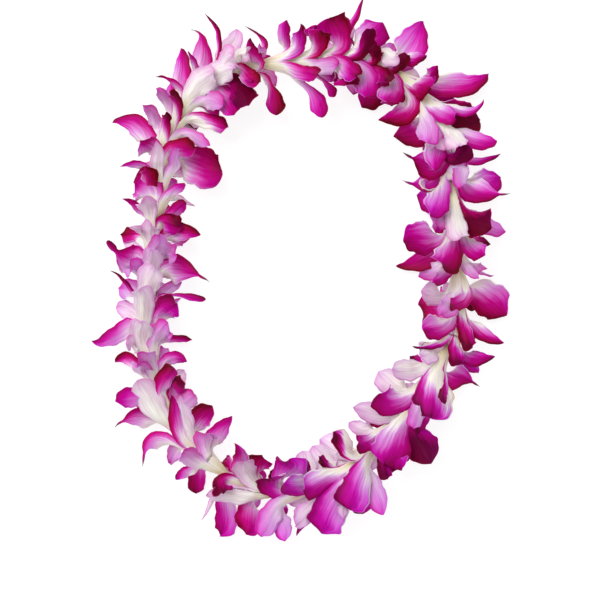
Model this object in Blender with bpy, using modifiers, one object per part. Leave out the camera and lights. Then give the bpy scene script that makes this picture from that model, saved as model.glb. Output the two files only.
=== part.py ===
"""A fresh orchid lei: forty-nine Dendrobium blooms strung on one knotted cotton thread, lying on a flat surface.

Metres, +Z up. The origin is under the middle of the loop, on the surface that the lei lies on.
Seen from above, the thread runs clockwise, and every bloom opens the way that the thread runs.
"""

from bisect import bisect_left
from math import atan2, cos, radians, sin

import bmesh
import bpy
from mathutils import Vector

# The thread
THREAD_RADIUS = 0.0005
THREAD_HEIGHT = 0.020
THREAD_ROUNDNESS = 2
KNOT_RADIUS = 0.0016
KNOT_STATION = 0.974
TAIL_LENGTH = 0.009
TAIL_SPREAD = radians(28)

# The loop that the thread lies in, as places that it passes through, clockwise from the bottom
ROUTE = (
    (0.000, -0.182), (-0.031, -0.180), (-0.060, -0.167), (-0.089, -0.143), (-0.109, -0.112),
    (-0.121, -0.078), (-0.124, -0.044), (-0.124, -0.011), (-0.120, 0.025), (-0.116, 0.058),
    (-0.112, 0.093), (-0.101, 0.124), (-0.082, 0.150), (-0.055, 0.166), (-0.025, 0.170),
    (0.008, 0.172), (0.041, 0.174), (0.071, 0.167), (0.095, 0.148), (0.112, 0.121),
    (0.121, 0.091), (0.125, 0.058), (0.127, 0.025), (0.130, -0.007), (0.129, -0.036),
    (0.120, -0.064), (0.103, -0.092), (0.083, -0.121), (0.058, -0.146), (0.031, -0.171),
)
STEPS_PER_SPAN = 24
LENGTH_WHEN_LAID_OUT = 0.988

# A bloom: a funnel that the thread runs through, and six flared parts round its mouth
FUNNEL_LENGTH = 0.020
FUNNEL_END_RADIUS = 0.00135
FUNNEL_MOUTH_RADIUS = 0.0085
FUNNEL_SIDES = 12
WALL = 0.0008
PARTS_ROUND_MOUTH = 6
SIDES_PER_PART = FUNNEL_SIDES // PARTS_ROUND_MOUTH
FLARE_TOP = radians(60)
FLARE_SIDE_EXTRA = radians(12)
FLARE_UNDER_LESS = radians(15)
FLARE_AT_MOUTH = radians(38)
FACE_TILT = radians(34)
PRESSED_HEIGHT = 0.00025
ROWS = (0.40, 0.74, 1.0)

# Length, and half width at each row, of the six parts in order round the mouth
SEPAL = (0.036, (0.0062, 0.0054))
PETAL = (0.036, (0.0098, 0.0094))
LIP = (0.019, (0.0052, 0.0044))
PERIANTH = (SEPAL, PETAL, SEPAL, LIP, SEPAL, PETAL)

# Each bloom: how far along the thread it sits in metres, how far it is turned round the thread
# in degrees from upright towards the outside of the loop, and its size against a middling one
BLOOMS = (
    (0.015, 90, 1.05), (0.037, 60, 1.05), (0.062, -90, 0.95), (0.084, -50, 1.00), (0.105, 30, 1.05),
    (0.125, 0, 1.10), (0.145, 120, 1.00), (0.167, -30, 0.95), (0.187, 20, 1.15), (0.206, 60, 1.00),
    (0.223, 0, 0.95), (0.238, 0, 1.05), (0.255, 180, 1.00), (0.271, 150, 0.95), (0.288, 200, 1.00),
    (0.307, 10, 1.00), (0.323, -20, 1.15), (0.340, 20, 1.10), (0.356, 0, 0.95), (0.373, 180, 0.95),
    (0.390, 170, 1.00), (0.407, 0, 1.10), (0.423, 40, 1.00), (0.440, -20, 1.00), (0.461, 30, 1.00),
    (0.481, 150, 1.00), (0.501, 40, 1.05), (0.517, -50, 1.00), (0.533, 180, 1.00), (0.551, 180, 1.00),
    (0.572, 180, 1.00), (0.593, 190, 1.10), (0.613, -30, 1.00), (0.635, 0, 1.00), (0.655, 180, 1.00),
    (0.677, 0, 1.05), (0.699, -20, 1.05), (0.721, 20, 1.00), (0.744, 40, 1.05), (0.767, 200, 1.00),
    (0.789, -150, 1.05), (0.812, 60, 1.00), (0.838, 80, 1.00), (0.861, -60, 1.00), (0.884, 80, 1.05),
    (0.907, 20, 1.00), (0.928, 85, 1.05), (0.951, 95, 1.05), (0.980, -30, 1.00),
)


def closed_curve():
    """Points along the loop and their distances from its start, round to the start again."""
    places = [Vector((x, y, THREAD_HEIGHT)) for x, y in ROUTE]
    count = len(places)
    points = []
    for i in range(count):
        before, start, end, after = (places[(i + k) % count] for k in (-1, 0, 1, 2))
        for step in range(STEPS_PER_SPAN):
            t = step / STEPS_PER_SPAN
            points.append(
                0.5 * (2 * start + (end - before) * t
                       + (2 * before - 5 * start + 4 * end - after) * t**2
                       + (3 * start - before - 3 * end + after) * t**3)
            )
    points.append(points[0])
    lengths = [0.0]
    for first, second in zip(points, points[1:]):
        lengths.append(lengths[-1] + (second - first).length)
    return points, lengths


LOOP_POINTS, LOOP_LENGTHS = closed_curve()
LOOP_LENGTH = LOOP_LENGTHS[-1]
STATION_SCALE = LOOP_LENGTH / LENGTH_WHEN_LAID_OUT


def place_at(station):
    """The point on the loop this far along it."""
    station = station % LOOP_LENGTH
    i = max(1, bisect_left(LOOP_LENGTHS, station))
    share = (station - LOOP_LENGTHS[i - 1]) / (LOOP_LENGTHS[i] - LOOP_LENGTHS[i - 1])
    return LOOP_POINTS[i - 1].lerp(LOOP_POINTS[i], share)


def material(name, colour, roughness):
    made = bpy.data.materials.new(name)
    made.use_nodes = True
    shader = made.node_tree.nodes["Principled BSDF"]
    shader.inputs["Base Color"].default_value = (*colour, 1)
    shader.inputs["Roughness"].default_value = roughness
    shader.inputs["Metallic"].default_value = 0
    return made


def link(name, mesh, finish, collection):
    made = bpy.data.objects.new(name, mesh)
    mesh.materials.clear()
    mesh.materials.append(finish)
    collection.objects.link(made)
    return made


def evaluated_mesh(obj):
    bpy.context.view_layer.update()
    return bpy.data.meshes.new_from_object(obj.evaluated_get(bpy.context.evaluated_depsgraph_get()))


def flare_of(azimuth):
    """How far a part leans out from the thread. Parts underneath are pressed in by the surface."""
    return FLARE_TOP + FLARE_SIDE_EXTRA * sin(azimuth) ** 2 - FLARE_UNDER_LESS * max(0, -cos(azimuth))


def flare_rows(part, azimuth, size):
    """The rows of three points that one part of the bloom is extruded through, from mouth to tip."""
    length, half_widths = part
    radial = Vector((0, sin(azimuth), cos(azimuth)))
    across = Vector((0, cos(azimuth), -sin(azimuth)))
    middle = Vector((FUNNEL_LENGTH, 0, 0)) + FUNNEL_MOUTH_RADIUS * size * radial
    reached = 0
    rows = []
    for row, half_width in zip(ROWS, (*half_widths, 0)):
        half_way = (reached + row) / 2
        lean = FLARE_AT_MOUTH + (flare_of(azimuth) - FLARE_AT_MOUTH) * min(1, 2 * half_way)
        along = cos(lean) * Vector((1, 0, 0)) + sin(lean) * radial
        middle = middle + (row - reached) * length * size * along
        turn = FACE_TILT * sin(azimuth) * row
        width = cos(turn) * across - sin(turn) * across.cross(along)
        rows.append([middle + side * half_width * size * width for side in (-1, 0, 1)])
        reached = row
    return rows


def bloom_surface(roll, size):
    """The bloom's middle surface: an open funnel along +X with its six parts extruded from the mouth."""
    made = bmesh.new()
    bmesh.ops.create_cone(
        made, cap_ends=False, segments=FUNNEL_SIDES, radius1=FUNNEL_END_RADIUS,
        radius2=FUNNEL_MOUTH_RADIUS * size, depth=FUNNEL_LENGTH,
    )
    mouth = {}
    for vertex in made.verts:
        angle = atan2(vertex.co.y, vertex.co.x)
        radius = vertex.co.xy.length
        at_mouth = vertex.co.z > 0
        azimuth = angle + roll
        vertex.co = Vector((FUNNEL_LENGTH * at_mouth, radius * sin(azimuth), radius * cos(azimuth)))
        if at_mouth:
            mouth[round(angle / radians(360 / FUNNEL_SIDES)) % FUNNEL_SIDES] = vertex
    for number, part in enumerate(PERIANTH):
        middle = number * SIDES_PER_PART
        base = [mouth[(middle + side) % FUNNEL_SIDES] for side in (-1, 0, 1)]
        azimuth = roll + radians(360) * number / PARTS_ROUND_MOUTH
        for row in flare_rows(part, azimuth, size):
            edges = [made.edges.get((base[0], base[1])), made.edges.get((base[1], base[2]))]
            made_now = bmesh.ops.extrude_edge_only(made, edges=edges)["geom"]
            new = [item for item in made_now if isinstance(item, bmesh.types.BMVert)]
            base = [next(v for v in new if v.link_edges and any(
                e.other_vert(v) == old for e in v.link_edges)) for old in base]
            for vertex, place in zip(base, row):
                vertex.co = place
        bmesh.ops.pointmerge(made, verts=base, merge_co=row[1])
    bmesh.ops.recalc_face_normals(made, faces=made.faces)
    return made


def build_bloom(name, station, roll, size, finish, collection):
    """One bloom, threaded at its narrow end, its undersides pressed flat where they meet the surface."""
    surface = bloom_surface(radians(roll), size)
    for vertex in surface.verts:
        vertex.co.z = max(vertex.co.z, PRESSED_HEIGHT - THREAD_HEIGHT)
    mesh = bpy.data.meshes.new(name)
    surface.to_mesh(mesh)
    surface.free()
    bloom = link(name, mesh, finish, collection)
    shell = bloom.modifiers.new("petal thickness", "SOLIDIFY")
    shell.thickness = WALL
    shell.offset = 0
    bloom.data = evaluated_mesh(bloom)
    bloom.modifiers.clear()
    bpy.data.meshes.remove(mesh)
    for vertex in bloom.data.vertices:
        vertex.co.z = max(vertex.co.z, -THREAD_HEIGHT)
    station *= STATION_SCALE
    bloom.location = place_at(station)
    ahead = place_at(station + FUNNEL_LENGTH) - bloom.location
    bloom.rotation_euler = (0, 0, atan2(ahead.y, ahead.x))
    return bloom


def tube_mesh(points, cyclic, collection):
    """A round thread through these points, as a welded mesh."""
    curve = bpy.data.curves.new("thread", "CURVE")
    curve.dimensions = "3D"
    curve.bevel_depth = THREAD_RADIUS
    curve.bevel_resolution = THREAD_ROUNDNESS
    curve.use_fill_caps = not cyclic
    spline = curve.splines.new("POLY")
    spline.points.add(len(points) - 1)
    for target, place in zip(spline.points, points):
        target.co = (*place, 1)
    spline.use_cyclic_u = cyclic
    guide = bpy.data.objects.new("thread", curve)
    collection.objects.link(guide)
    mesh = evaluated_mesh(guide)
    bpy.data.objects.remove(guide)
    welded = bmesh.new()
    welded.from_mesh(mesh)
    bmesh.ops.remove_doubles(welded, verts=welded.verts, dist=1e-6)
    bmesh.ops.recalc_face_normals(welded, faces=welded.faces)
    welded.to_mesh(mesh)
    welded.free()
    return mesh


def build_thread(finish, collection, cutters):
    """The loop of thread, with a point at each bloom's end and one between, tied in one knot with two tails."""
    stations = [row[0] * STATION_SCALE for row in BLOOMS]
    following = stations[1:] + [stations[0] + LOOP_LENGTH]
    points = []
    for here, after in zip(stations, following):
        points += [place_at(here), place_at((here + after) / 2)]
    thread = link("lei_thread", tube_mesh(points, True, collection), finish, collection)

    knot_place = place_at(KNOT_STATION * STATION_SCALE)
    onward = (place_at(KNOT_STATION * STATION_SCALE + KNOT_RADIUS) - knot_place).normalized()
    outward = Vector((0, 0, 1)).cross(onward)
    bpy.ops.mesh.primitive_uv_sphere_add(segments=10, ring_count=6, radius=KNOT_RADIUS, location=knot_place)
    knot = bpy.context.object
    joined = [knot]
    for side in (-1, 1):
        way = cos(TAIL_SPREAD) * onward + side * sin(TAIL_SPREAD) * outward
        tail = [knot_place, knot_place + TAIL_LENGTH * way]
        joined.append(link(f"tail {side}", tube_mesh(tail, False, collection), finish, collection))
    for piece in joined:
        for owner in list(piece.users_collection):
            owner.objects.unlink(piece)
        cutters.objects.link(piece)
        piece.hide_render = True
        piece.display_type = "WIRE"
        union = thread.modifiers.new("tied knot", "BOOLEAN")
        union.operation = "UNION"
        union.object = piece
    return thread


def centre_over_origin(objects):
    """Moves the lei so that the middle of its box is over the origin."""
    bpy.context.view_layer.update()
    corners = [obj.matrix_world @ vertex.co for obj in objects for vertex in obj.data.vertices]
    for axis in (0, 1):
        low = min(corner[axis] for corner in corners)
        high = max(corner[axis] for corner in corners)
        for obj in objects:
            obj.location[axis] -= (low + high) / 2
    return objects


def main():
    for obj in list(bpy.data.objects):
        bpy.data.objects.remove(obj)
    lei = bpy.data.collections.new("orchid_lei")
    cutters = bpy.data.collections.new("joined_to_thread")
    for collection in (lei, cutters):
        bpy.context.scene.collection.children.link(collection)
    bloom_finish = material("fresh orchid bloom", (0.62, 0.02, 0.36), 0.45)
    thread_finish = material("cotton thread", (0.86, 0.84, 0.78), 0.85)
    blooms = [
        build_bloom(f"bloom_{number:02d}", *row, bloom_finish, lei)
        for number, row in enumerate(BLOOMS, 1)
    ]
    thread = build_thread(thread_finish, lei, cutters)
    centre_over_origin([*blooms, thread, *cutters.objects])


main()
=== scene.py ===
import random
from bisect import bisect_left
from math import atan2, cos, exp, hypot, pi, radians, sin, sqrt

import bpy
from mathutils import Matrix, Vector, noise


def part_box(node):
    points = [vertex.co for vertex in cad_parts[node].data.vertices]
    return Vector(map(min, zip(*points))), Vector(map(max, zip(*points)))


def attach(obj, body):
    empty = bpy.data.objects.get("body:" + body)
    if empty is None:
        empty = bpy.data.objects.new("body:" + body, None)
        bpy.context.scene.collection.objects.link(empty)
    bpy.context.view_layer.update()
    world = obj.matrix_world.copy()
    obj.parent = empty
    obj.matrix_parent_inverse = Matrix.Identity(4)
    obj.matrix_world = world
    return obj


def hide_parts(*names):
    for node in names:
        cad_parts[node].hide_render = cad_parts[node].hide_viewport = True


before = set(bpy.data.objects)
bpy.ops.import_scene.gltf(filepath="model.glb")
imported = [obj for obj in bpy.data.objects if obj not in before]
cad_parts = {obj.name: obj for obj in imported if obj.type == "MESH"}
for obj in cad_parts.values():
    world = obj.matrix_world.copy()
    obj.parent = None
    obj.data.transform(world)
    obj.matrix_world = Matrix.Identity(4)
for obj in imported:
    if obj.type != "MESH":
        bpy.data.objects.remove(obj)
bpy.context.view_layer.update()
mm = 0.001
noise.seed_set(5)  # noise_vector starts from the clock otherwise

# the thread's way round the loop, as mm across and mm along
loop = {
    "height": 20 * mm,  # of the thread over the table
    "threadRadius": 0.5 * mm,
    "laidLength": 988 * mm,  # the loop that the stations below are given for
    "stepsPerSpan": 24,
    "places": (
        (0, -182), (-31, -180), (-60, -167), (-89, -143), (-109, -112), (-121, -78), (-124, -44),
        (-124, -11), (-120, 25), (-116, 58), (-112, 93), (-101, 124), (-82, 150), (-55, 166),
        (-25, 170), (8, 172), (41, 174), (71, 167), (95, 148), (112, 121), (121, 91), (125, 58),
        (127, 25), (130, -7), (129, -36), (120, -64), (103, -92), (83, -121), (58, -146), (31, -171),
    ),
}
# the middle line of the whole garland, which the petals that show are placed from
middleLine = (
    (0, -184), (-31, -181), (-59, -165), (-85, -139), (-105, -110), (-115, -77), (-118, -44),
    (-117, -11), (-113, 25), (-110, 58), (-107, 91), (-96, 120), (-78, 147), (-53, 163), (-25, 168),
    (8, 173), (41, 177), (70, 166), (94, 147), (112, 120), (121, 91), (125, 58), (126, 25), (130, -7),
    (131, -36), (122, -65), (107, -93), (86, -124), (62, -148), (33, -173),
)

# each bloom's station along the thread in mm, its turn round the thread in degrees, and its size
bloomRows = (
    (15, 90, 1.05), (37, 60, 1.05), (62, -90, 0.95), (84, -50, 1.00), (105, 30, 1.05),
    (125, 0, 1.10), (145, 120, 1.00), (167, -30, 0.95), (187, 20, 1.15), (206, 60, 1.00),
    (223, 0, 0.95), (238, 0, 1.05), (255, 180, 1.00), (271, 150, 0.95), (288, 200, 1.00),
    (307, 10, 1.00), (323, -20, 1.15), (340, 20, 1.10), (356, 0, 0.95), (373, 180, 0.95),
    (390, 170, 1.00), (407, 0, 1.10), (423, 40, 1.00), (440, -20, 1.00), (461, 30, 1.00),
    (481, 150, 1.00), (501, 40, 1.05), (517, -50, 1.00), (533, 180, 1.00), (551, 180, 1.00),
    (572, 180, 1.00), (593, 190, 1.10), (613, -30, 1.00), (635, 0, 1.00), (655, 180, 1.00),
    (677, 0, 1.05), (699, -20, 1.05), (721, 20, 1.00), (744, 40, 1.05), (767, 200, 1.00),
    (789, -150, 1.05), (812, 60, 1.00), (838, 80, 1.00), (861, -60, 1.00), (884, 80, 1.05),
    (907, 20, 1.00), (928, 85, 1.05), (951, 95, 1.05), (980, -30, 1.00),
)


def closedCurve(hand):
    # the points of a smooth closed curve through these places, and how far along it each one is
    places = [Vector((x * mm, y * mm, loop["height"])) for x, y in hand]
    count = len(places)
    points = []
    for i in range(count):
        before, start, end, after = (places[(i + k) % count] for k in (-1, 0, 1, 2))
        bending = 2 * before - 5 * start + 4 * end - after
        turning = 3 * start - before - 3 * end + after
        for step in range(loop["stepsPerSpan"]):
            t = step / loop["stepsPerSpan"]
            points.append(0.5 * (2 * start + (end - before) * t + bending * t**2 + turning * t**3))
    points.append(points[0])
    lengths = [0.0]
    for first, second in zip(points, points[1:]):
        lengths.append(lengths[-1] + (second - first).length)
    return points, lengths


thread = closedCurve(loop["places"])
middle = closedCurve(middleLine)
stationScale = thread[1][-1] / loop["laidLength"]


def placeAt(station, curve=thread):
    points, lengths = curve
    station = station % lengths[-1]
    i = max(1, bisect_left(lengths, station))
    share = (station - lengths[i - 1]) / (lengths[i] - lengths[i - 1])
    return points[i - 1].lerp(points[i], share)


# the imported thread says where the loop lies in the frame
threadLow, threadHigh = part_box("lei_thread")
routeLeft = min(p.x for p in thread[0])
routeRight = max(p.x for p in thread[0])
routeTop = max(p.y for p in thread[0])
shift = Vector((
    (threadLow.x + threadHigh.x - routeLeft - routeRight) / 2,
    threadHigh.y - loop["threadRadius"] - routeTop,
    0,
))

# the camera looks straight down on the loop
studio = {
    "lens": 85, "sensor": 36,
    "width": 0.492, "level": 0.02,  # metres that the view takes in, at this height
    "centre": (0, -0.0238),
    "tableSize": 60,  # wide enough that its edge never shows
    "tableColour": "#8C8C8C", "tableGlow": 0.82,
    "keyPlace": (-0.7, 0.8, 1.6), "keySize": 1.2, "keyWatts": 23.0,
    "sky": 0.74,
}
eyeHeight = studio["level"] + studio["width"] * studio["lens"] / studio["sensor"]
eye = Vector((*studio["centre"], eyeHeight)) + shift


def stripPlace(along, out, up):
    # the place at this height that is seen this many mm along the middle line and outward of it
    near = 5 * mm
    way = (placeAt(along * mm + near, middle) - placeAt(along * mm - near, middle)).normalized()
    point = placeAt(along * mm, middle) + Vector((-way.y, way.x, 0)) * out * mm + shift
    nearer = (eye.z - up) / (eye.z - studio["level"])
    return Vector((eye.x + (point.x - eye.x) * nearer, eye.y + (point.y - eye.y) * nearer, up))


def stripOf(point):
    # the opposite of stripPlace
    nearer = (eye.z - studio["level"]) / (eye.z - point.z)
    flatX = eye.x + (point.x - eye.x) * nearer
    flatY = eye.y + (point.y - eye.y) * nearer
    flat = Vector((flatX, flatY, studio["level"])) - shift
    points, lengths = middle
    i = min(range(len(points) - 1), key=lambda k: (points[k] - flat).length_squared)
    way = (points[(i + 1) % (len(points) - 1)] - points[i - 1]).normalized()
    return lengths[i] / mm, (flat - points[i]).dot(Vector((-way.y, way.x, 0))) / mm


def linear(hexColour):
    channels = [int(hexColour[i:i + 2], 16) / 255 for i in (1, 3, 5)]
    return tuple(c / 12.92 if c <= 0.04045 else ((c + 0.055) / 1.055) ** 2.4 for c in channels) + (1.0,)


def addNode(tree, kind, settings=None, inputs=None, links=None):
    node = tree.nodes.new("ShaderNode" + kind)
    for name, value in (settings or {}).items():
        setattr(node, name, value)
    for name, value in (inputs or {}).items():
        node.inputs[name].default_value = value
    for name, socket in (links or {}).items():
        tree.links.new(socket, node.inputs[name])
    return node


def newMaterial(name, settings):
    made = bpy.data.materials.new(name)
    made.use_nodes = True
    shader = made.node_tree.nodes["Principled BSDF"]
    for socket, value in settings.items():
        shader.inputs[socket].default_value = value
    return made, made.node_tree, shader


def fillRamp(ramp, stops):
    elements = ramp.color_ramp.elements
    while len(elements) > 1:
        elements.remove(elements[-1])
    elements[0].position = stops[0][0]
    elements[0].color = linear(stops[0][1])
    for position, colour in stops[1:]:
        elements.new(position).color = linear(colour)


# fresh orchid petal: satin, faintly translucent, white at the base and running in rays to magenta
petalLook = {
    "stretch": (3.4, 0.5, 1),  # rays and veins run along the petal
    "drift": (6, 6, 6),  # how the rays differ from place to place, so that no two petals match
    "rays": 0.46, "rayNoise": {"Scale": 1.6, "Detail": 3, "Roughness": 0.55},  # about 2 mm wide
    "clouds": 0.16, "cloudNoise": {"Scale": 60, "Detail": 2},  # about 17 mm wide
    "edges": 0.20, "edgePower": 4.0,  # how much sooner the colour starts there than up the middle
    "crease": {"From Max": 0.09, "To Min": 0.12, "To Max": 0.0},  # painted shade down the middle groove, over the distance from the middle
    "palest": -0.10, "whiteAt": 0.30, "colourGain": 0.70,
    "creamBelow": 0.18, "creamGain": 0.42,
    "rimSides": 2.6, "rimTip": 6.0, "streaks": 0.06,
    "margin": {"From Min": 0.88, "To Max": -0.24},
    "veins": 0.26, "veinNoise": {"Scale": 3.4, "Detail": 1.5},  # about 1 mm wide, strong so that they show
    "veinRange": {"From Min": 0.42, "From Max": 0.62},
    # the half of a petal with painted shade leans to crimson; the tail ends are dried
    "shadedSideHue": 0.05, "dryEnd": {"From Min": 0.84, "From Max": 0.97}, "dryColour": "#6E5658",
    "skin": 0.25, "skinNoise": {"Scale": 900, "Detail": 2},  # 1 mm, as coarse as it needs to show
    "bump": {"Strength": 0.25, "Distance": 0.3 * mm},
}


def petalMaterial(name, stops, veinColourHex, roughness):
    look = petalLook
    made, tree, shader = newMaterial(name, {
        "Roughness": roughness, "Specular IOR Level": 0.05,
        "Subsurface Weight": 0.25, "Subsurface Radius": (1, 0.5, 0.7), "Subsurface Scale": 1.5 * mm,
    })
    plus, times, timesPlus = ({"operation": kind} for kind in ("ADD", "MULTIPLY", "MULTIPLY_ADD"))
    minus, power, most = ({"operation": kind} for kind in ("SUBTRACT", "POWER", "MAXIMUM"))
    clamped = {"operation": "MULTIPLY_ADD", "use_clamp": True}
    facts = {}
    for fact in ("tone", "start", "side", "rim", "hue", "dry"):  # that each part carries
        facts[fact] = addNode(tree, "Attribute", {"attribute_name": fact}).outputs["Fac"]
    uv = addNode(tree, "UVMap", {"uv_map": "petalMap"}).outputs["UV"]
    split = addNode(tree, "SeparateXYZ", links={"Vector": uv})
    across, along = split.outputs["X"], split.outputs["Y"]
    place = addNode(tree, "TexCoord").outputs["Object"]

    # rays are noise stretched along the petal, and clouds blotch them
    stretch = addNode(tree, "Mapping", inputs={"Scale": look["stretch"]}, links={"Vector": uv})
    shifted = addNode(tree, "VectorMath", timesPlus, {1: look["drift"]},
                      {0: place, 2: stretch.outputs["Vector"]})
    rays = addNode(tree, "TexNoise", None, look["rayNoise"], {"Vector": shifted.outputs["Vector"]})
    cloud = addNode(tree, "TexNoise", None, look["cloudNoise"], {"Vector": place})
    rayShift = addNode(tree, "Math", timesPlus, {1: look["rays"], 2: -look["rays"] / 2},
                       {0: rays.outputs["Fac"]})
    cloudShift = addNode(tree, "Math", timesPlus, {1: look["clouds"], 2: -look["clouds"] / 2},
                         {0: cloud.outputs["Fac"]})

    # the white reaches further up the middle of the petal than up its edges
    off = addNode(tree, "Math", {"operation": "ABSOLUTE"}, links={0: across})
    outer = addNode(tree, "Math", power, {1: look["edgePower"]}, {0: off.outputs[0]})
    edgeShift = addNode(tree, "Math", times, {1: look["edges"]}, {0: outer.outputs[0]})
    # painted shade in the crease down the middle, darker where the petal is coloured
    crease = addNode(tree, "MapRange", None, look["crease"], {"Value": off.outputs[0]})
    creaseShadeShift = addNode(tree, "Math", times, links={0: crease.outputs["Result"], 1: along})
    # painted shade: one side of a petal is deeper than the other
    shadedSideShift = addNode(tree, "Math", times, links={0: across, 1: facts["side"]})

    # level 0 is where the colour begins, and tone says how deep it grows
    level = addNode(tree, "Math", minus, links={0: along, 1: facts["start"]})
    for extra in (rayShift, cloudShift, edgeShift, creaseShadeShift, shadedSideShift):
        level = addNode(tree, "Math", plus, links={0: level.outputs[0], 1: extra.outputs[0]})
    deepen = addNode(tree, "Math", times, links={0: level.outputs[0], 1: facts["tone"]})
    deepen = addNode(tree, "Math", most, {1: look["palest"]}, {0: deepen.outputs[0]})
    position = addNode(tree, "Math", timesPlus, {1: look["colourGain"], 2: look["whiteAt"]},
                       {0: deepen.outputs[0]})
    # the funnel below the petals runs to cream
    below = addNode(tree, "Math", minus, {1: look["creamBelow"]}, {0: along})
    below = addNode(tree, "Math", {"operation": "MINIMUM"}, {1: 0.0}, {0: below.outputs[0]})
    position = addNode(tree, "Math", clamped, {1: look["creamGain"]},
                       {0: below.outputs[0], 2: position.outputs[0]})
    # the rim is a little deeper, which draws the outline of the white ones
    tipEdge = addNode(tree, "Math", power, {1: look["rimTip"]}, {0: along})
    sides = addNode(tree, "Math", power, {1: look["rimSides"]}, {0: off.outputs[0]})
    around = addNode(tree, "Math", most, links={0: sides.outputs[0], 1: tipEdge.outputs[0]})
    position = addNode(tree, "Math", clamped,
                       links={0: around.outputs[0], 1: facts["rim"], 2: position.outputs[0]})
    # the rays streak the deep colour too
    position = addNode(tree, "Math", clamped, {1: look["streaks"]},
                       {0: rayShift.outputs[0], 2: position.outputs[0]})
    # the very edge of a coloured petal is thin and lets light through
    margin = addNode(tree, "MapRange", None, look["margin"], {"Value": off.outputs[0]})
    paler = addNode(tree, "Math", times, links={0: margin.outputs["Result"], 1: facts["tone"]})
    position = addNode(tree, "Math", {"operation": "ADD", "use_clamp": True},
                       links={0: position.outputs[0], 1: paler.outputs[0]})
    ramp = addNode(tree, "ValToRGB", links={"Fac": position.outputs[0]})
    fillRamp(ramp, stops)

    # each petal leans a little to purple or to crimson, and its side with the painted shade to crimson
    hue = addNode(tree, "Math", timesPlus, {1: look["shadedSideHue"]},
                  {0: shadedSideShift.outputs[0], 2: facts["hue"]})
    leaning = addNode(tree, "HueSaturation", links={"Color": ramp.outputs["Color"], "Hue": hue.outputs[0]})
    # veins are finer noise than the rays
    veinLine = addNode(tree, "TexNoise", {"noise_dimensions": "2D"}, look["veinNoise"],
                       {"Vector": stretch.outputs["Vector"]})
    veinMask = addNode(tree, "MapRange", None, look["veinRange"], {"Value": veinLine.outputs["Fac"]})
    veinColour = addNode(tree, "Mix", {"data_type": "RGBA"},
                         {"A": linear("#FFFFFF"), "B": linear(veinColourHex)},
                         {"Factor": veinMask.outputs["Result"]})
    vein = addNode(tree, "Mix", {"data_type": "RGBA", "blend_type": "MULTIPLY"}, {"Factor": look["veins"]},
                   {"A": leaning.outputs["Color"], "B": veinColour.outputs["Result"]})
    # the thin tails have dried to brown at their ends
    dryEnd = addNode(tree, "MapRange", None, look["dryEnd"], {"Value": along})
    dryShare = addNode(tree, "Math", times, links={0: dryEnd.outputs["Result"], 1: facts["dry"]})
    dried = addNode(tree, "Mix", {"data_type": "RGBA"}, {"B": linear(look["dryColour"])},
                    {"Factor": dryShare.outputs[0], "A": vein.outputs["Result"]})
    tree.links.new(dried.outputs["Result"], shader.inputs["Base Color"])

    # fine skin and the raised veins
    skin = addNode(tree, "TexNoise", None, look["skinNoise"], {"Vector": place})
    raised = addNode(tree, "Math", timesPlus, {1: look["skin"]},
                     {0: skin.outputs["Fac"], 2: veinLine.outputs["Fac"]})
    bump = addNode(tree, "Bump", None, look["bump"], {"Height": raised.outputs[0]})
    tree.links.new(bump.outputs["Normal"], shader.inputs["Normal"])
    return made


# the backs are waxy and the faces satin, which the solidified walls wear on their two sides
petalBack = petalMaterial("orchid petal, waxy back", (
    (0.0, "#DEDCA6"), (0.14, "#EDEDCE"), (0.26, "#EFEFE4"), (0.31, "#E8D4E2"), (0.36, "#DCB0D6"),
    (0.41, "#D28CC6"), (0.46, "#D070B6"), (0.53, "#C63A9C"), (0.60, "#B8047E"), (0.75, "#9E005C"),
    (0.88, "#840042"), (1.0, "#5E002A")), "#C06CB0", 0.5)
petalFace = petalMaterial("orchid petal, satin face", (
    (0.0, "#E4DFB0"), (0.14, "#F1F0D2"), (0.26, "#F3F1E8"), (0.31, "#ECD6E8"), (0.36, "#E2B0DC"),
    (0.41, "#DA88CC"), (0.46, "#D66ABC"), (0.53, "#CC34A2"), (0.60, "#BE0486"), (0.75, "#A20062"),
    (0.88, "#880044"), (1.0, "#60002C")), "#B8409C", 0.45)
# lips are much deeper, with a velvety face
lipBack = petalMaterial("orchid lip, back", (
    (0.0, "#EFE9CF"), (0.22, "#F6E6EE"), (0.30, "#D95FBE"), (0.42, "#A6046A"), (0.6, "#8C0348"),
    (0.8, "#720236"), (1.0, "#5A0228")), "#7A1050", 0.5)
lipFace = petalMaterial("orchid lip, velvet face", (
    (0.0, "#F3E8C0"), (0.2, "#E9C7DC"), (0.3, "#B0107E"), (0.42, "#8C0450"), (0.6, "#740236"),
    (0.8, "#5E0228"), (1.0, "#4A011E")), "#5A0830", 0.6)

# cotton thread: two-ply, undyed, so it reads off-white and matt
cottonLook = {"fibre": 2500, "dark": "#CFC8B6", "light": "#F3EEE1"}  # fibres drawn 0.4 mm apart
cotton, tree, shader = newMaterial("cotton thread, twisted", {
    "Roughness": 0.85, "Sheen Weight": 0.3, "Specular IOR Level": 0.2,
})
place = addNode(tree, "TexCoord").outputs["Object"]
fibre = addNode(tree, "TexNoise", None, {"Scale": cottonLook["fibre"], "Detail": 3}, {"Vector": place})
ramp = addNode(tree, "ValToRGB", links={"Fac": fibre.outputs["Fac"]})
fillRamp(ramp, ((0.3, cottonLook["dark"]), (0.7, cottonLook["light"])))
tree.links.new(ramp.outputs["Color"], shader.inputs["Base Color"])
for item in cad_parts["lei_thread"].material_slots:
    item.material = cotton
print("materials ready")

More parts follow.
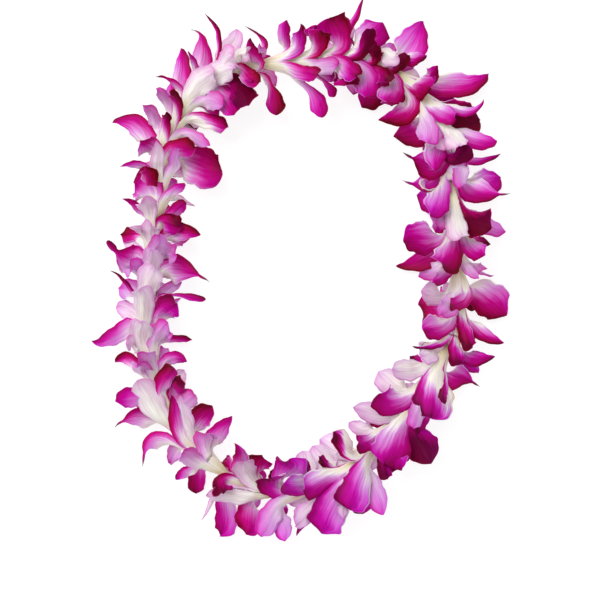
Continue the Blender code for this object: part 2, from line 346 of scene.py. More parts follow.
# where the petals that show end, as bloom: part: mm along the middle line and outward of it at the tip,
# half width in mm, tip, colour, mm that it bows forward, and what it looks like if not its own kind
placed = {
    1: {0: (33, 38, 10, "round", "rich", -3), 5: (66, 26, 6.5, "round", "white", -5),
        4: (60, -14, 8, "round", "pale"), 3: (45, -26, 9, "blunt", "crimson"),
        2: (42, -17, 8, "round", "deep"), 1: (35, 17, 8, "round", "lilac")},
    2: {0: (58.5, 44, 2, "point", "pale"), 1: (44, 47, 8, "blunt", "vivid", -5),
        5: (58, 16, 7, "blunt", "dark", 0, "lip"), 4: (76, -22, 6, "point", "vivid", -8),
        3: (73, -9, 4, "round", "deep")},
    3: {0: (97, -36, 7, "point", "vivid"), 1: (100, -9, 8, "round", "lilac"),
        2: (100, 16, 7, "round", "lilac"), 3: (89, 35, 3.5, "round", "vivid", 0, "sepal"),
        4: (72, 30, 6.5, "blunt", "deep")},
    4: {0: (141, -10, 6.5, "point", "pale"), 1: (144, -3, 5, "point", "deep"),
        2: (110, 47, 6.5, "tail", "vivid", 12), 3: (100, 29, 6, "point", "lilac", 0, "sepal"),
        5: (115, -28, 9, "round", "crimson", 1)},
    5: {0: (162, 22, 9.5, "round", "white"), 1: (138, 50, 8, "tail", "vivid", 4),
        5: (137, -21, 7, "round", "lilac")},
    6: {0: (167, -10, 6, "blunt", "crimson"), 1: (152, 43, 7.5, "round", "vivid"),
        5: (150, -17, 6, "blunt", "dark")},
    7: {0: (178, 36, 4.5, "point", "crimson", 8), 3: (169, -22, 4.5, "round", "vivid", 5, "petal"),
        4: (182, 10, 7, "round", "lilac"), 5: (174, 18, 8, "point", "lilac"),
        2: (186, -5, 6, "round", "lilac")},
    8: {0: (205, -10, 7, "round", "lilac"), 1: (206, 13, 8, "round", "white"),
        4: (190, -30, 2.5, "blunt", "deep"), 5: (196, -13, 5, "round", "lilac"),
        3: (188, 22, 6, "round", "white", 0, "sepal"), 2: (190, 26, 6, "round", "pale")},
    9: {0: (232, 14, 8, "round", "white"), 1: (194, 53, 7, "point", "vivid", -6),
        2: (217, 33, 7, "round", "pale"), 5: (222, -17, 9, "blunt", "deep"),
        4: (226, -20, 4, "point", "lilac")},
    10: {0: (245, 39, 1.5, "point", "dark"), 1: (232, 31, 8, "round", "lilac"),
         4: (227, -40, 2.5, "neck", "deep"), 5: (250, 2, 9, "round", "white"),
         3: (240, -20, 4, "round", "lilac", 0, "petal"), 2: (238, -6, 7, "round", "pale")},
    11: {0: (265, 7, 7, "round", "pale"), 2: (252, 18, 8, "round", "white"),
         5: (244, -43, 11, "tail", "sunset", 4), 1: (248, 24, 8, "round", "lilac")},
    12: {0: (277, 2, 7, "round", "lilac"), 1: (267, 44, 11.5, "knob", "sunset", -8),
         5: (262, -13, 8, "round", "lilac"), 4: (272, -7, 6, "round", "pale")},
    13: {5: (275, 34, 5.5, "blunt", "crimson", -2), 4: (282, 28, 3, "point", "pale"),
         2: (280, -31, 7, "point", "crimson", 2), 3: (284, 10, 7, "round", "pale", 0, "sepal")},
    14: {3: (287, -15, 7, "round", "dark", -3), 5: (304, 36, 3, "point", "deep"),
         4: (305, 20, 7, "round", "pale"), 2: (306, -17, 5, "round", "deep")},
    15: {3: (319, 26, 14, "round", "vivid", 2, "petal"), 4: (331, 18, 6, "blunt", "crimson"),
         2: (319, -15, 3.5, "round", "vivid"), 1: (303, -25, 2.5, "point", "pale"),
         0: (322, -8, 6, "round", "lilac")},
    16: {0: (350, 13, 5, "point", "pale"), 1: (330, 39, 3, "point", "vivid", 2),
         5: (350, -4, 4.5, "point", "lilac"), 4: (352, -26, 8, "round", "crimson")},
    17: {0: (357, -17, 7, "round", "crimson"), 1: (348, 28, 8.5, "point", "vivid", -3),
         2: (352, 53, 8, "point", "rich", 9), 5: (341, -44, 14.5, "disc", "sunset", -4)},
    18: {0: (371, 17, 3.4, "blunt", "dark", 3), 1: (370, 36, 4.5, "round", "lilac"),
         5: (364, -26, 4.5, "round", "lilac"), 3: (376, -13, 4, "blunt", "dark"),
         4: (378, -6, 7, "round", "pale")},
    19: {0: (387, 21, 3.4, "blunt", "dark", 3), 1: (384, 34, 4, "round", "lilac"),
         5: (389, -34, 5.5, "blunt", "flame"), 2: (394, 28, 4, "point", "vivid")},
    20: {3: (418, 9, 10, "round", "white", 0, "petal"), 2: (408, -18, 7, "round", "lilac"),
         4: (390, 39, 2.5, "tail", "deep", 2), 5: (410, 40, 7, "point", "rich")},
    21: {3: (433, 3, 9, "round", "white", 0, "petal"), 2: (410, -30, 8, "round", "vivid"),
         4: (412, 34, 2.5, "point", "vivid"), 5: (419, 47, 7.5, "tail", "rich", 6)},
    22: {0: (436, 14, 9, "round", "pale"), 1: (430, 54, 1.5, "point", "dark", 4),
         2: (441, 34, 6.5, "round", "pale"), 5: (433, -29, 9, "blunt", "night", -1),
         4: (440, -24, 6, "round", "dark")},
    23: {5: (452, -11, 6, "blunt", "crimson", -5), 0: (445, 14, 6, "round", "white"),
         4: (445, -10, 5, "round", "deep"), 1: (446, 10, 4, "round", "deep")},
    24: {1: (456, 20, 3, "point", "lilac"), 2: (446, 36, 2.5, "tail", "dark", 5),
         5: (462, -40, 6.5, "neck", "crimson"), 0: (448, 24, 4.5, "point", "crimson", -4),
         3: (462, 4, 4, "round", "dark")},
    25: {0: (489, 25, 5.5, "round", "vivid", 3), 1: (480.5, 35, 4.5, "blunt", "vivid", -4),
         2: (492, 31, 4, "point", "dark", 3), 5: (499, -13, 6, "round", "crimson"),
         4: (497, -48, 6.5, "neck", "vivid", 3), 3: (486, -2, 5, "round", "pale", 0, "sepal")},
    26: {2: (510, -34, 3.5, "neck", "deep"), 3: (516, -9, 6, "round", "lilac", 0, "petal"),
         4: (507, 23, 7, "blunt", "crimson"), 5: (505, 28, 7, "blunt", "deep"),
         0: (513, 12, 6, "round", "pale"), 1: (514, -17, 7, "round", "vivid")},
    27: {0: (515, 32, 13, "blunt", "deep"), 1: (531, 49, 2.5, "point", "deep"),
         5: (538, -17, 8, "round", "deep"), 4: (525, -26, 9, "blunt", "deep"),
         2: (528, 24, 5, "point", "pale")},
    28: {1: (538, 26, 5, "round", "night", 0, "lip"), 2: (543, 33, 11, "blunt", "vivid", -2),
         0: (556, -28, 10, "round", "vivid", 3), 5: (541, -31, 9, "round", "lilac")},
    29: {3: (547, 14, 6, "round", "night", -3, "lip"), 2: (567, -10, 6.5, "round", "dark"),
         4: (563, 14, 6, "round", "white"), 1: (558, -38, 10.5, "round", "crimson", 4),
         5: (556, 20, 5, "round", "lilac")},
    30: {5: (565, 49, 12.5, "point", "vivid", -2), 4: (578, 29, 5, "point", "deep"),
         3: (569, 20, 5, "round", "night", -2, "lip"), 2: (578, -23, 9, "round", "vivid"),
         0: (584, 11, 6, "round", "white")},
    31: {4: (588, 28, 6, "point", "deep"), 5: (610, 58, 9.5, "point", "deep", 4),
         3: (596, 12, 10, "blunt", "deep", -4, "petal"), 2: (585, -38, 8, "point", "crimson", 7),
         1: (598, -27, 5, "blunt", "pale"), 0: (616, 20, 5, "round", "deep")},
    32: {3: (624, 16, 7, "round", "vivid", 0, "petal"), 4: (621, 44, 3.5, "point", "vivid", 8),
         5: (631, 33, 12, "blunt", "night", 2), 2: (634, -12, 8, "round", "lilac"),
         1: (613, -36, 14, "point", "crimson", 3)},
    33: {0: (660, -12, 8, "point", "vivid"), 1: (643, 13, 8, "round", "white"),
         2: (647, 43, 6, "round", "vivid", 3), 5: (640, -8, 7, "round", "pale")},
    34: {0: (650, 22, 6, "round", "night", -2, "lip"), 1: (676, 10, 6, "round", "lilac"),
         2: (656, 44, 3, "point", "deep", 3), 5: (637, -33, 12, "tail", "crimson", 2),
         4: (664, -39, 9.5, "tail", "rich", 9)},
    35: {3: (653, 16, 6, "point", "lilac", -3, "sepal"), 4: (684, 48, 9.5, "tail", "deep", 2),
         5: (672, 41, 10.5, "round", "vivid", 2), 2: (698, -19, 9, "round", "vivid"),
         1: (679, -29, 14, "point", "vivid", 6)},
    36: {0: (716, 6, 8, "round", "white"), 1: (708, 31, 12, "round", "night"),
         2: (714, 43, 6, "round", "lilac"), 5: (705, -15, 8, "round", "lilac"),
         4: (712, -14, 6, "round", "vivid")},
    37: {0: (739, -12, 10.5, "blunt", "deep"), 1: (735, 24, 7, "blunt", "vivid"),
         2: (726, 29, 5, "blunt", "dark"), 5: (717, -41, 12, "round", "rich", -3),
         4: (733, -49, 8, "point", "crimson", 4)},
    38: {0: (752, 17, 4, "point", "lilac"), 1: (745, 24, 5, "point", "lilac"),
         2: (751, 28, 3, "tail", "lilac"), 5: (752, -20, 5, "round", "vivid"),
         4: (745, -32, 7, "round", "lilac")},
    39: {0: (773, -8, 5, "blunt", "deep", 2), 1: (778, 38, 13, "blunt", "rich", -6),
         5: (783, -15, 7, "round", "lilac"), 4: (758, -32, 9, "round", "pale"),
         2: (776, 12, 5, "round", "dark"), 3: (757, -14, 6, "round", "lilac", 0, "petal")},
    40: {4: (792, 40, 5.5, "point", "deep", 1), 5: (800, 18, 6, "round", "dark"),
         3: (803, 17, 5, "blunt", "dark"), 2: (803, -26, 9, "round", "vivid"),
         1: (773, -34, 12, "blunt", "crimson", -4)},
    41: {4: (803, 38, 6, "point", "deep", 3), 5: (817, 30, 6, "point", "vivid"),
         3: (817, 14, 6, "blunt", "dark"), 2: (822, -29, 2, "tail", "dark"),
         1: (826, -20, 9, "round", "white")},
    42: {0: (851, 19, 3, "round", "dark"), 1: (825, 35, 10, "tail", "crimson", -5),
         5: (866, 15, 14.5, "round", "tipped"), 4: (848, -33, 7.5, "round", "white"),
         3: (832, -26, 5, "blunt", "dark")},
    43: {0: (884, 18, 5, "round", "dark"), 5: (880, 8, 6, "round", "lilac"),
         4: (874, -30, 10.5, "blunt", "rich", 6), 3: (857, -42, 9.5, "round", "white", 0, "sepal"),
         2: (850, -14, 6, "round", "white")},
    44: {1: (916, 12, 14, "blunt", "rich"), 2: (890, 38, 12, "round", "night", -3),
         0: (903, -39, 8.5, "point", "pale")},
    45: {5: (923, 23, 5, "blunt", "dark", 0, "lip"), 4: (922, -15, 6.5, "round", "deep"),
         0: (909, 25, 9, "round", "deep"), 3: (914, -32, 5, "round", "pale", 0, "sepal"),
         1: (930, 8, 6, "round", "pale")},
    46: {0: (957, 23, 11.5, "blunt", "rich"), 1: (942, 42, 8, "round", "lilac", -1),
         5: (928, -36, 6, "blunt", "dipped"), 4: (947, -39, 10, "round", "white"),
         2: (951, 32, 10, "round", "rich"), 3: (948, -14, 9, "round", "white", 0, "petal")},
    47: {0: (962, 28, 4, "round", "pale"), 5: (978, 34, 13, "blunt", "vivid"),
         4: (984, -4, 9, "blunt", "vivid"), 3: (960, -26, 3, "blunt", "dark"),
         2: (961, -37, 8, "round", "white")},
    48: {0: (992, 33, 4, "point", "deep"), 5: (993, 24, 7, "round", "pale"),
         3: (977, -28, 3, "blunt", "dark"), 2: (977, -35, 8, "round", "white"),
         4: (1002, -10, 8, "round", "vivid"), 1: (996, 8, 8, "round", "pale")},
    49: {0: (28, -13, 11.5, "round", "deep"), 1: (25, 36, 8, "round", "lilac"),
         2: (11, 37, 6.5, "round", "lilac"), 5: (8, -31, 11, "blunt", "vivid", -4),
         4: (25, -23, 5.5, "blunt", "dark"), 3: (14, 16, 5, "round", "deep", 0, "sepal")},
}

# a bloom's parts in order round its mouth, 60 degrees apart, and how each kind grows
parts = ("sepal", "petal", "sepal", "lip", "sepal", "petal")
shapes = {  # lengths and ruffle in mm, leans in degrees from the thread, cup as curvature per metre
    "sepal": {"length": 36, "halfWidth": 6.5, "lean": 60, "tipLean": 96, "cup": -14, "ruffle": 0.5,
              "start": 0.34, "tone": 0.75, "tips": ("round", "point", "point")},
    "petal": {"length": 37, "halfWidth": 12.0, "lean": 64, "tipLean": 98, "cup": 10, "ruffle": 1.1,
              "start": 0.22, "tone": 1.0, "tips": ("round", "round", "point", "blunt")},
    "lip": {"length": 21, "halfWidth": 8.5, "lean": 66, "tipLean": 120, "cup": 60, "ruffle": 1.6,
            "start": -0.05, "tone": 1.2, "tips": ("round", "round", "point", "blunt")},
}
spread = {  # the range that each part's own values are drawn from
    "length": (0.92, 1.06), "halfWidth": (0.9, 1.08), "tone": (0.85, 1.15), "ruffle": (0.7, 1.3),  # times
    "lean": (-7, 7), "tipLean": (-14, 18), "start": (-0.08, 0.08), "cup": (-8, 8),  # more than its kind
    "fold": (2, 16), "twist": (-18, 18), "hue": (-3.5, 2.5),  # degrees
    # side is how deep the painted shade on one half of a part runs
    "bend": (-0.12, 0.12), "uneven": (-0.16, 0.16), "face": (0.6, 0.95), "side": (0, 0.4),
    "hook": (0.8, 1.8),  # mm
}
tips = {  # where the part is widest, how it falls to its end, how full that is, and what share is blade
    "disc": {"peak": 0.55, "fall": 2.1, "end": 0.52},
    "round": {"peak": 0.56, "fall": 2.3, "end": 0.66},
    "blunt": {"peak": 0.62, "fall": 3.8, "end": 0.52},
    "point": {"peak": 0.44, "fall": 1.5, "end": 0.9},
    "tail": {"peak": 0.42, "fall": 1.5, "end": 0.95, "blade": 0.8},
    "neck": {"peak": 0.76, "fall": 2.2, "end": 0.6},
    "knob": {"peak": 0.40, "fall": 1.5, "end": 0.95, "blade": 0.8},
}
tones = {  # start of the colour along the part, its depth, its lean to crimson
    "white": (0.90, 0.10, 0), "pale": (0.50, 0.10, -0.005), "lilac": (0.10, 0.25, -0.022),
    "vivid": (0.18, 0.65, -0.022), "rich": (0.10, 0.73, -0.01), "tipped": (0.40, 1.5, -0.016),
    "flame": (0.42, 1.5, 0), "deep": (0.08, 0.85, -0.006), "crimson": (0.06, 0.89, 0.006),
    "dark": (-0.05, 1.12, 0.0), "night": (-0.25, 1.35, 0.0), "sunset": (0.22, 1.0, 0.004),
    "dipped": (0.60, 2.4, 0),
}
hiddenTones = ("pale", "lilac", "lilac", "vivid", "rich")  # of the parts that the table leaves out
hueRuns = {(41, 49): -0.018, (9, 12): -0.01, (34, 35): -0.01}  # lean of the blooms that are more violet
usualHue = 0.004  # of all the others
mesh = {
    "across": 12, "funnelRows": 8, "petalRows": 20,
    "crowding": 1.5,  # how the rows lie closer together towards the tip
    "funnelLength": 20 * mm, "endRadius": 1.5 * mm, "mouthRadius": 8.5 * mm, "flare": 0.85,
    "floor": 0.45, "floorStep": 0.3, "floors": 4,  # mm, so that petals that lie on the table don't meet
    "thickness": 0.32 * mm, "weld": 0.02 * mm,
}


def smooth(t):
    t = min(1, max(0, t))
    return t * t * (3 - 2 * t)


edge = {
    "swell": 0.5,  # how fast the sides widen from the base
    "waist": 0.32, "waistAt": 0.35,  # of a neck
    "tailWidth": 1.0 * mm,
    "knobFrom": 0.6, "knobWidth": 1.4, "knobSwells": 0.74, "knobSwelling": 0.14,
    "knobCloses": 0.9, "knobClosing": 0.1,
    "nibSlope": 5.5, "nibWidth": 0.03,  # a round or blunt end draws in to a small point
}


def outline(u, kind, base, tail):
    # half width against the widest, at this share of the way to the tip
    tip = tips[kind]
    narrow = 0.0
    if "blade" in tip:
        if u < 1:
            narrow = tail * (1 - smooth((u - tip["blade"]) / (1 - tip["blade"])) ** 2)
        if kind == "knob" and u > edge["knobFrom"]:
            swelling = 1 + smooth((u - edge["knobSwells"]) / edge["knobSwelling"])
            closing = max(0, u - edge["knobCloses"]) / edge["knobClosing"]
            narrow = edge["knobWidth"] * tail * swelling * sqrt(max(0.0, 1 - closing ** 2))
        u = u / tip["blade"]
        if u >= 1:
            return narrow
    if kind == "neck":
        waist = base + (edge["waist"] - base) * smooth(u / edge["waistAt"])
        if u < tip["peak"]:
            widening = smooth((u - edge["waistAt"]) / (tip["peak"] - edge["waistAt"]))
            return waist + (1 - edge["waist"]) * widening
    elif u < tip["peak"]:
        return base + (1 - base) * smooth(u / tip["peak"]) ** edge["swell"]
    fall = (u - tip["peak"]) / (1 - tip["peak"])
    width = max(0.0, 1 - fall ** tip["fall"]) ** tip["end"]
    if kind in ("round", "blunt"):
        width = min(width, edge["nibSlope"] * (1 - u) + edge["nibWidth"])
    return max(narrow, width) if u < 1 else 0.0


def partPlan():
    # what each part of each bloom is like, before the table places those that show
    plan = {}
    for number, (station, turn, size) in enumerate(bloomRows, 1):
        draw = random.Random(number)
        lean = next((hue for (first, last), hue in hueRuns.items() if first <= number <= last), usualHue)

        def vary(name):
            return draw.uniform(*spread[name])

        for index, kind in enumerate(parts):
            shape = shapes[kind]
            plan[number, index] = {
                "kind": kind, "azimuth": radians(turn + 60 * index), "size": size,
                "length": shape["length"] * size * vary("length"),
                "halfWidth": shape["halfWidth"] * size * vary("halfWidth"),
                "lean": radians(shape["lean"] + vary("lean")),
                "tipLean": radians(shape["tipLean"] + vary("tipLean")),
                "tip": draw.choice(shape["tips"]),
                "start": shape["start"] + vary("start"), "tone": shape["tone"] * vary("tone"),
                "cup": shape["cup"] + vary("cup"), "ruffle": shape["ruffle"] * vary("ruffle"),
                "bend": vary("bend"), "phase": draw.uniform(0, 2 * pi), "uneven": vary("uneven"),
                "hue": vary("hue") / 360 + lean, "face": vary("face"), "fold": vary("fold"),
                "twist": radians(vary("twist")), "hook": -vary("hook"), "side": vary("side"),
                "target": None, "tucked": False, "bow": 0, "rim": 0.05,
            }
    return plan


shown = {  # how the placed parts differ from the drawn ones
    "fullness": 1.16,  # of the table's widths
    "lipCup": 5,  # of a petal in a lip's place
    # leastSide and side set how deep the painted shade on one half of a placed part is
    "twist": 0.3, "cup": 0.5, "uneven": 0.4, "leastSide": 0.25, "side": 0.6,
    "fold": 8, "rim": 0.07, "face": 1.0,
}


def placePetals(plan):
    # the petals of the table take their places, and the rest keep under them
    for number, ends in placed.items():
        for index, (along, out, halfWidth, tip, colour, *more) in ends.items():
            part = plan[number, index]
            bow, looks = (*more, *(0, part["kind"])[len(more):])
            start, tone, crimson = tones[colour]
            if looks != "lip" and part["kind"] == "lip":
                part["cup"] = shown["lipCup"]
            part.update(
                target=(along, out), halfWidth=halfWidth * shown["fullness"], tip=tip, bow=bow, kind=looks,
                start=start, tone=tone, hue=part["hue"] + crimson,
                side=shown["leastSide"] + part["side"] * shown["side"],
                twist=part["twist"] * shown["twist"], cup=part["cup"] * shown["cup"],
                uneven=part["uneven"] * shown["uneven"], fold=part["fold"] + shown["fold"],
                face=shown["face"], rim=shown["rim"],
            )
    print("petals placed:", sum(len(ends) for ends in placed.values()))
    for (number, index), part in plan.items():
        if not part["target"]:
            tuckIn(part, bloomMatrix(number))
            if part["kind"] != "lip":
                colour = random.Random(number * 7 + index).choice(hiddenTones)
                part["start"], part["tone"], _ = tones[colour]
    return plan


tuck = {  # how the parts that nothing claimed keep inside the outline that the placed ones make
    "leastRoom": 15,  # mm from the middle line that a part may reach where none stands out
    "width": 0.9, "inside": 0.85, "shorter": 0.86,
    "downward": -0.3, "layingShorter": 0.66,  # those that lie on the table would reach further
}


def tuckIn(part, matrix):
    azimuth = part["azimuth"]
    length = part["length"] * mm
    reach = mesh["mouthRadius"] * part["size"] + length * sin(part["lean"])
    ahead = mesh["funnelLength"] + length * cos(part["lean"])
    along, out = stripOf(matrix @ Vector((ahead, reach * sin(azimuth), reach * cos(azimuth))))
    side = 1 if out > 0 else -1
    room = tuck["leastRoom"]
    way = loop["laidLength"] / mm
    for ends in placed.values():
        for row in ends.values():
            apart = (along - row[0] + way / 2) % way - way / 2
            near = 1 - apart ** 2 / (row[2] * tuck["width"]) ** 2
            if row[1] * side > 0 and near > 0:
                room = max(room, abs(row[1]) * near ** 0.5)
    if cos(azimuth) < tuck["downward"]:
        part["length"] *= tuck["layingShorter"]
    elif abs(out) > room * tuck["inside"]:
        part["target"] = (along, side * room * tuck["inside"])
        part["length"] *= tuck["shorter"]
        part["tucked"] = True


def bloomMatrix(number):
    station = bloomRows[number - 1][0] * mm * stationScale
    place = placeAt(station) + shift
    ahead = placeAt(station + mesh["funnelLength"]) + shift - place
    return Matrix.Translation(place) @ Matrix.Rotation(atan2(ahead.y, ahead.x), 4, "Z")


def partAxes(part, matrix):
    # in the frame: along the thread, outward from it through the part, and round it
    azimuth = part["azimuth"]
    turn = matrix.to_3x3()
    ways = ((1, 0, 0), (0, sin(azimuth), cos(azimuth)), (0, cos(azimuth), -sin(azimuth)))
    return [turn @ Vector(way) for way in ways]


rib = {
    "slack": 1.02,  # least length of a placed part against its level reach
    "downward": -0.1,  # parts that point lower than this hang
    "rise": 0.9, "lowTip": 3 * mm, "highTip": 54 * mm,  # the share of its slack that lifts the tip
    "freeRise": 20 * mm, "furtherRise": 0.4,  # over the mouth, and the share of what is more
    "upward": 0.5, "over": 9 * mm, "overFrom": 14 * mm, "overWithin": 14 * mm,  # to clear the next bloom
    "tucked": 1.1,  # most length of a tucked part against its reach
    "slope": 29,  # degrees from the thread as it leaves the mouth
    "ownWay": 0.6, "straightWay": 0.7, "arrive": 0.9, "bend": 0.5,
    "steepest": 0.98,  # share of a step that may go into clearing the table
}


def rowShare(i):
    return 1 - (1 - i / mesh["petalRows"]) ** mesh["crowding"]


def midrib(part, matrix, floor):
    # the part's middle line from the mouth to the tip, in the frame, as points and directions
    forward, radial, _ = partAxes(part, matrix)
    upright = cos(part["azimuth"])
    mouth = matrix @ Vector((mesh["funnelLength"], 0, 0)) + mesh["mouthRadius"] * part["size"] * radial
    length = part["length"] * mm
    if part["target"]:
        along, out = part["target"]
        if part["tip"] == "tail":
            along -= part["hook"]
        tip = stripPlace(along, out, studio["level"])
        level = hypot(tip.x - mouth.x, tip.y - mouth.y)
        length = max(length, level * rib["slack"])
        rise = sqrt(max(0.0, length ** 2 - level ** 2)) * (1 if upright > rib["downward"] else -1)
        height = min(max(mouth.z + rise * rib["rise"], rib["lowTip"]), rib["highTip"])
        if height > mouth.z + rib["freeRise"]:
            further = height - mouth.z - rib["freeRise"]
            height = mouth.z + rib["freeRise"] + further * rib["furtherRise"]
        if upright > rib["upward"]:
            ahead = (tip - mouth).dot(forward)
            height += rib["over"] * smooth((ahead - rib["overFrom"]) / rib["overWithin"])
        tip = stripPlace(along, out, height)
        if part["tucked"]:
            length = min(length, rib["tucked"] * (tip - mouth).length)
    else:
        tip = mouth + length * (cos(part["lean"]) * forward + sin(part["lean"]) * radial)
    slope = radians(rib["slope"])
    first = (cos(slope) * forward + sin(slope) * radial) * length
    last = (cos(part["tipLean"]) * forward + sin(part["tipLean"]) * radial)
    straight = (tip - mouth).normalized()
    last = (last * rib["ownWay"] + straight * rib["straightWay"]).normalized() * length * rib["arrive"]
    sideways = forward.cross(radial).normalized() * part["bend"] * length * rib["bend"]
    if part["bow"]:
        sideways = forward * part["bow"] * mm
    # a cubic that leaves the mouth along first and arrives at the tip along last
    rows = mesh["petalRows"]
    points = []
    for i in range(rows + 1):
        t = rowShare(i)
        a = 2 * t**3 - 3 * t**2 + 1
        b = t**3 - 2 * t**2 + t
        c = -2 * t**3 + 3 * t**2
        d = t**3 - t**2
        points.append(a * mouth + b * first + c * tip + d * last + sideways * 4 * t * (1 - t))
    # lies along the table where it would go through it
    laid = [points[0]]
    for before, after in zip(points, points[1:]):
        step = after - before
        lowest = floor - laid[-1].z
        if step.z < lowest:
            flat = hypot(step.x, step.y)
            full = step.length
            step.z = lowest
            want = sqrt(max(1e-12, full ** 2 - min(full * rib["steepest"], abs(lowest)) ** 2))
            if flat > 1e-9:
                step.x *= want / flat
                step.y *= want / flat
        laid.append(laid[-1] + step)
    if part["target"]:  # what lay down has slid outwards
        slid = Vector((tip.x - laid[-1].x, tip.y - laid[-1].y, 0))
        laid = [point + slid * rowShare(i) ** 2 for i, point in enumerate(laid)]
    directions = []
    for i in range(rows + 1):
        directions.append((laid[min(i + 1, rows)] - laid[max(i - 1, 0)]).normalized())
    return laid, directions


opening = {  # how a part opens out of the funnel, as shares of the way to its tip
    "backUp": -0.35,  # parts that point lower than this show their face from above
    "leastWidth": 0.4, "mostBase": 1.2,  # of the funnel's and of the part's own width
    "facing": 0.35, "lifting": 0.3, "cupping": 0.45, "cupFades": 1.4,
}


def partSurface(part, matrix, floor):
    # rows of (centre, across, lift, half width, curvature, along) from the bloom's end to the part's tip
    forward, radial, tangent = partAxes(part, matrix)
    mouthRadius = mesh["mouthRadius"] * part["size"]
    rows = []
    for i in range(mesh["funnelRows"]):
        t = i / mesh["funnelRows"]
        radius = mesh["endRadius"] + (mouthRadius - mesh["endRadius"]) * t ** mesh["flare"]
        centre = matrix @ Vector((mesh["funnelLength"] * t, 0, 0)) + radius * radial
        rows.append((centre, tangent, -radial, radius * pi / 6, 1 / radius, 0.5 * (t - 1)))
    points, directions = midrib(part, matrix, floor)
    up = Vector((0, 0, 1))
    backUp = cos(part["azimuth"]) > opening["backUp"]
    baseWidth = mouthRadius * pi / 6
    halfWidth = max(part["halfWidth"] * mm, opening["leastWidth"] * baseWidth)
    base = min(opening["mostBase"], baseWidth / halfWidth)
    for i, (point, way) in enumerate(zip(points, directions)):
        u = rowShare(i)
        level = up.cross(way) if backUp else way.cross(up)
        if level.length < 1e-4:
            level = tangent
        level.normalize()
        across = tangent.lerp(level, part["face"] * smooth(u / opening["facing"]))
        across = (across - way * across.dot(way)).normalized()
        across = Matrix.Rotation(part["twist"] * smooth(u), 3, way) @ across
        back = way.cross(across)
        lift = -(radial.lerp(back, smooth(u / opening["lifting"]))).normalized()
        curve = 1 / mouthRadius
        cup = part["cup"] * (1 - opening["cupFades"] * u)
        curvature = curve + (cup - curve) * smooth(u / opening["cupping"])
        width = halfWidth * outline(u, part["tip"], base, edge["tailWidth"] / halfWidth)
        rows.append((point, across, lift, width, curvature, u))
    return rows


relief = {  # depths in mm, turns in radians from the mouth to the tip
    "grownAt": 0.3,
    "scallop": 0.055, "scallopTurns": 17, "nick": 0.035, "nickTurns": 33,  # shares of the half width
    "groove": 0.9, "grooveWidth": 0.13, "grooveFades": 0.6,
    "waveTurns": 13, "waveLag": 2.1,  # of one edge behind the other
    "dents": 55, "creases": 150,  # of noise a metre
    "dentDepth": 1.7, "dentShares": (0.4, 0.6), "creaseDepth": 0.6,
    "hookFrom": 0.72, "hookWithin": 0.28,
    "edgeLift": 0.5,  # off the table
}


def shapePart(part, matrix, floor, obj):
    # moves a flat grid's points to where they lie on the part
    rows = partSurface(part, matrix, floor)
    last = len(rows) - 1
    forward = partAxes(part, matrix)[0]
    phase = part["phase"]
    leastDent, moreDent = relief["dentShares"]
    for vertex in obj.data.vertices:
        v = max(-1.0, min(1.0, vertex.co.x))
        i = round((vertex.co.y + 1) / 2 * last)
        centre, across, lift, width, curvature, along = rows[i]
        grown = smooth(along / relief["grownAt"])
        if along > 0:
            scallop = relief["scallop"] * sin(along * relief["scallopTurns"] + phase * (2 if v > 0 else 3))
            nick = relief["nick"] * sin(along * relief["nickTurns"] + phase * (5 if v > 0 else 4))
            width *= 1 + grown * (part["uneven"] * v + scallop + nick)
        bent = width * curvature
        if abs(bent) > 1e-3:
            sideways = sin(bent * v) / curvature
            raised = (1 - cos(bent * v)) / curvature
        else:
            sideways = width * v
            raised = 0.0
        point = centre + across * sideways + lift * raised
        if along > 0:
            fading = 1 - relief["grooveFades"] * along
            groove = -relief["groove"] * mm * exp(-(v / relief["grooveWidth"]) ** 2) * grown * fading
            fold = abs(v) * width * sin(radians(part["fold"])) * grown
            lag = relief["waveLag"] if v > 0 else 0
            wave = part["ruffle"] * mm * v * v * grown * sin(along * relief["waveTurns"] + phase + lag)
            point += lift * (groove + fold + wave)
            dent = noise.noise_vector(point * relief["dents"]) * relief["dentDepth"] * mm * grown
            point += dent * (leastDent + moreDent * along)
            point += noise.noise_vector(point * relief["creases"]) * relief["creaseDepth"] * mm * grown
            if part["tip"] == "tail":
                hooked = max(0, along - relief["hookFrom"]) / relief["hookWithin"]
                point += forward * part["hook"] * mm * hooked ** 2
            point.z = max(point.z, floor + relief["edgeLift"] * mm * abs(v) ** 3)
        vertex.co = point
    return rows


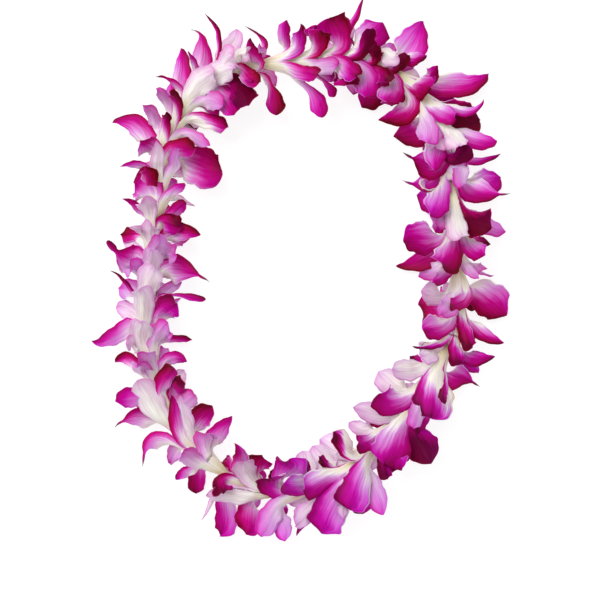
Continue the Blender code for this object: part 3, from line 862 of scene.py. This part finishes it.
def buildBloom(number, plan):
    matrix = bloomMatrix(number)
    last = mesh["funnelRows"] + mesh["petalRows"]
    bpy.ops.object.select_all(action="DESELECT")
    pieces = []
    for index in range(len(parts)):
        part = plan[number, index]
        bpy.ops.mesh.primitive_grid_add(x_subdivisions=mesh["across"], y_subdivisions=last, size=2)
        piece = bpy.context.object
        floor = (mesh["floor"] + mesh["floorStep"] * ((number * 2 + index) % mesh["floors"])) * mm
        uv = piece.data.uv_layers[0]
        uv.name = "petalMap"
        flat = [tuple(vertex.co) for vertex in piece.data.vertices]
        rows = shapePart(part, matrix, floor, piece)
        alongs = [rows[round((y + 1) / 2 * last)][5] for x, y, z in flat]
        for corner in piece.data.loops:
            uv.data[corner.index].uv = (flat[corner.vertex_index][0], alongs[corner.vertex_index])
        # what the petal materials read, with side for the painted shade on the half of the part that faces
        # on along the thread
        ahead = rows[-3][1].dot(partAxes(part, matrix)[0])
        facts = {
            "tone": part["tone"], "start": part["start"], "hue": 0.5 + part["hue"], "rim": part["rim"],
            "dry": float(part["tip"] == "tail"), "side": part["side"] * (1 if ahead > 0 else -1),
        }
        for name, value in facts.items():
            piece.data.attributes.new(name, "FLOAT", "POINT")
            piece.data.attributes[name].data.foreach_set("value", [value] * len(flat))
        for face in piece.data.polygons:
            pastMouth = max(alongs[v] for v in face.vertices) > 0.01
            face.material_index = 2 if part["kind"] == "lip" and pastMouth else 0
        pieces.append(piece)
    for piece in pieces:
        piece.select_set(True)
    bpy.context.view_layer.objects.active = pieces[0]
    bpy.ops.object.join()
    bloom = bpy.context.object
    bloom.name = f"orchid_{number:02d}"
    for finish in (petalBack, petalFace, lipBack, lipFace):
        bloom.data.materials.append(finish)
    bpy.ops.object.mode_set(mode="EDIT")
    bpy.ops.mesh.select_all(action="SELECT")
    bpy.ops.mesh.remove_doubles(threshold=mesh["weld"])
    bpy.ops.mesh.normals_make_consistent(inside=False)
    bpy.ops.object.mode_set(mode="OBJECT")
    shell = bloom.modifiers.new("petal thickness", "SOLIDIFY")
    shell.thickness = mesh["thickness"]
    shell.offset = 0
    shell.material_offset = 1  # the inner side takes the face's material
    bpy.ops.object.modifier_apply(modifier=shell.name)
    bpy.ops.object.shade_smooth()
    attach(bloom, "root")
    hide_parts(f"bloom_{number:02d}")
    return bloom


plan = placePetals(partPlan())
blooms = [buildBloom(number, plan) for number in range(1, len(bloomRows) + 1)]
triangles = sum(len(face.vertices) - 2 for bloom in blooms for face in bloom.data.polygons)
print("blooms:", len(blooms), "triangles:", triangles)

# the table glows a little, so that it stays an even pale ground
bpy.ops.mesh.primitive_plane_add(size=studio["tableSize"])
table = bpy.context.object
table.name = "table"
white, tree, shader = newMaterial("white paper sweep", {
    "Roughness": 0.9, "Specular IOR Level": 0.1, "Base Color": linear(studio["tableColour"]),
    "Emission Color": (1, 1, 1, 1), "Emission Strength": studio["tableGlow"],
})
table.data.materials.append(white)

scene = bpy.context.scene
world = bpy.data.worlds.new("studio")
scene.world = world
world.use_nodes = True
background = world.node_tree.nodes["Background"].inputs
background["Color"].default_value = (1, 1, 1, 1)
background["Strength"].default_value = studio["sky"]

lamp = bpy.data.lights.new("key", "AREA")
lamp.energy = studio["keyWatts"]
lamp.size = studio["keySize"]
key = bpy.data.objects.new("key", lamp)
key.location = studio["keyPlace"]
key.rotation_euler = (-Vector(studio["keyPlace"])).to_track_quat("-Z", "Y").to_euler()
scene.collection.objects.link(key)

camera = bpy.data.cameras.new("camera")
camera.lens = studio["lens"]
camera.sensor_width = studio["sensor"]
view = bpy.data.objects.new("camera", camera)
view.location = eye
scene.collection.objects.link(view)
scene.camera = view
scene.view_settings.view_transform = "Standard"
print("studio ready")
